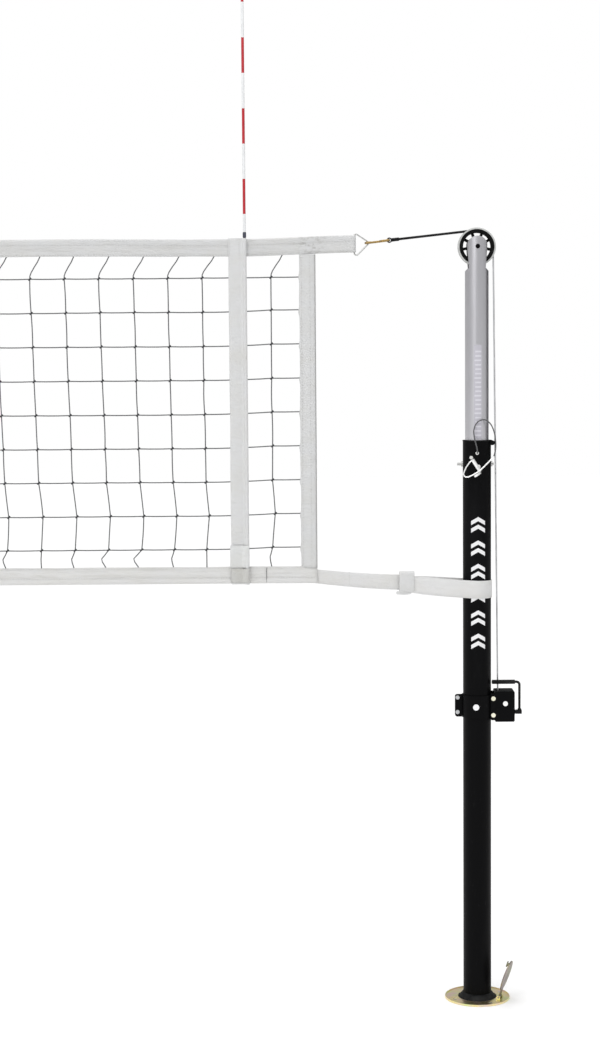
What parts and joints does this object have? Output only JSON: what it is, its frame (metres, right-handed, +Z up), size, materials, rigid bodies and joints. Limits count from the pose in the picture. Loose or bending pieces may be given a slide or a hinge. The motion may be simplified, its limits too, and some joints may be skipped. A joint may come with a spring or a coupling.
{
  "type": "volleyball net on telescoping posts",
  "caption": "Volleyball net between telescoping posts set in floor sleeves, tensioned by a worm winch and head cable over pulleys, with edge bands, antennas and strap ties.",
  "frame": {"origin": "on the floor, midway between the posts", "axes": "+X along the net towards the winch post, +Y across the court away from the crank's lock pins, +Z up"},
  "size_m": [10.5842, 0.1906, 3.2792],
  "materials": {
    "sleeve_steel": "galvanised, dull",
    "black_plastic": "moulded, matt",
    "foot_rubber": "moulded",
    "plate_brass": "satin, lacquered",
    "hook_brass": "cast, worn",
    "zinc_steel": "zinc plated",
    "bolt_brass": "yellow zinc plated",
    "black_paint": "satin powder coat",
    "upright_alu": "satin anodised",
    "white_nylon": "machined",
    "pulley_black": "turned, satin",
    "cable_coat": "extruded",
    "wire_rope": "galvanised wire rope",
    "net_twine": "knotted twine",
    "band_vinyl": "vinyl coated fabric",
    "tape_white": "woven tape",
    "cord_white": "braided",
    "lanyard_grey": "braided",
    "dowel_glass_fibre": "pultruded rod",
    "antenna_red": "striped fibreglass"
  },
  "bodies": {
    "ground": {"ground_sleeves": "sleeve_steel", "sleeve_liners": "black_plastic", "floor_plates": "plate_brass", "plate_screws": "zinc_steel", "cover_hinge_pins": "zinc_steel", "right_lower_post": "black_paint", "left_lower_post": "black_paint", "post_feet": "foot_rubber", "top_collars": "black_plastic", "guide_bushings": "white_nylon", "side_bolts": "zinc_steel", "lanyard_rivets": "white_nylon", "right_lanyard": "lanyard_grey", "left_lanyard": "lanyard_grey", "right_cable_run": "wire_rope", "left_cable_run": "wire_rope", "left_cable_anchor": "black_paint", "winch_saddle_front": "black_paint", "winch_saddle_back": "black_paint", "winch_bolts": "bolt_brass", "winch_housing": "black_paint", "winch_cover": "black_paint", "drum_axle": "zinc_steel"},
    "right_lid": {"right_cover_lid": "plate_brass"},
    "left_lid": {"left_cover_lid": "plate_brass"},
    "right_pin": {"right_lock_pin": "zinc_steel", "right_pin_bail": "zinc_steel"},
    "left_pin": {"left_lock_pin": "zinc_steel", "left_pin_bail": "zinc_steel"},
    "right_slide": {"right_upright": "upright_alu", "right_upright_bushing": "white_nylon", "right_pulley_axle": "black_paint", "right_pulley_spacers": "white_nylon"},
    "left_slide": {"left_upright": "upright_alu", "left_upright_bushing": "white_nylon", "left_pulley_axle": "black_paint", "left_pulley_spacers": "white_nylon"},
    "right_pulley": {"right_pulley_wheel": "pulley_black"},
    "left_pulley": {"left_pulley_wheel": "pulley_black"},
    "net": {"net_mesh": "net_twine", "top_band": "band_vinyl", "bottom_band": "band_vinyl", "headline_cable": "wire_rope", "bottom_cord": "cord_white", "side_tapes": "band_vinyl", "side_dowels": "dowel_glass_fibre", "marker_tapes": "tape_white", "antennas": "antenna_red", "delta_rings": "zinc_steel", "snap_hooks": "hook_brass", "top_cables": "cable_coat", "bottom_straps": "tape_white", "strap_keepers": "tape_white"},
    "right_gate": {"right_snap_gate": "hook_brass"},
    "left_gate": {"left_snap_gate": "hook_brass"},
    "drum": {"winch_drum": "zinc_steel", "worm_gear": "zinc_steel"},
    "crank": {"winch_worm": "zinc_steel"},
    "handle": {"crank_rod": "zinc_steel"},
    "grip": {"crank_grip": "black_plastic"}
  },
  "joints": [
    {"name": "net_raise", "type": "slide", "parent": "ground", "child": "net", "axis": [0, 0, 1], "range_m": [0, 0.19]},
    {"name": "right_raise", "type": "slide", "parent": "ground", "child": "right_slide", "axis": [0, 0, 1], "range_m": [0, 0.19], "deforming": ["right_cable_run"]},
    {"name": "left_raise", "type": "slide", "parent": "ground", "child": "left_slide", "axis": [0, 0, 1], "range_m": [0, 0.19], "deforming": ["left_cable_run"]},
    {"name": "crank_turn", "type": "hinge", "parent": "ground", "child": "crank", "pos_m": [5.255, -0.017, 0.8585], "axis": [1, 0, 0], "continuous": true},
    {"name": "drum_turn", "type": "hinge", "parent": "ground", "child": "drum", "pos_m": [5.255, 0, 0.885], "axis": [0, 1, 0], "continuous": true},
    {"name": "handle_swivel", "type": "hinge", "parent": "crank", "child": "handle", "pos_m": [5.2975, -0.017, 0.8585], "axis": [0, 0, 1], "range_deg": [0, 180]},
    {"name": "grip_spin", "type": "hinge", "parent": "handle", "child": "grip", "pos_m": [5.25, -0.017, 0.947], "axis": [1, 0, 0], "continuous": true},
    {"name": "right_pulley_spin", "type": "hinge", "parent": "right_slide", "child": "right_pulley", "pos_m": [5.175, 0, 2.212], "axis": [0, 1, 0], "continuous": true},
    {"name": "left_pulley_spin", "type": "hinge", "parent": "left_slide", "child": "left_pulley", "pos_m": [-5.175, 0, 2.212], "axis": [0, 1, 0], "continuous": true},
    {"name": "right_pin_pull", "type": "slide", "parent": "ground", "child": "right_pin", "axis": [0, -1, 0], "range_m": [0, 0.11]},
    {"name": "left_pin_pull", "type": "slide", "parent": "ground", "child": "left_pin", "axis": [0, -1, 0], "range_m": [0, 0.11]},
    {"name": "right_lid_hinge", "type": "hinge", "parent": "ground", "child": "right_lid", "pos_m": [5.2389, -0.02326, 0.009], "axis": [0.342, 0.9397, 0], "range_deg": [-23, 0]},
    {"name": "left_lid_hinge", "type": "hinge", "parent": "ground", "child": "left_lid", "pos_m": [-5.2389, -0.02326, 0.009], "axis": [-0.342, 0.9397, 0], "range_deg": [0, 23]},
    {"name": "right_gate_hinge", "type": "hinge", "parent": "net", "child": "right_gate", "pos_m": [4.89677, -0.007, 2.23007], "axis": [-0.1132, 0, 0.9936], "range_deg": [-16, 0], "stiffness_Nm_per_rad": 0.02, "springref_deg": 17.19},
    {"name": "left_gate_hinge", "type": "hinge", "parent": "net", "child": "left_gate", "pos_m": [-4.89677, -0.007, 2.23007], "axis": [0.1132, 0, 0.9936], "range_deg": [0, 16], "stiffness_Nm_per_rad": 0.02, "springref_deg": -17.19}
  ],
  "couplings": [
    {"joint": "right_raise", "follows": "net_raise", "ratio": 1},
    {"joint": "left_raise", "follows": "net_raise", "ratio": 1},
    {"joint": "drum_turn", "follows": "crank_turn", "ratio": 0.05},
    {"joint": "right_pulley_spin", "follows": "crank_turn", "ratio": -0.02}
  ]
}
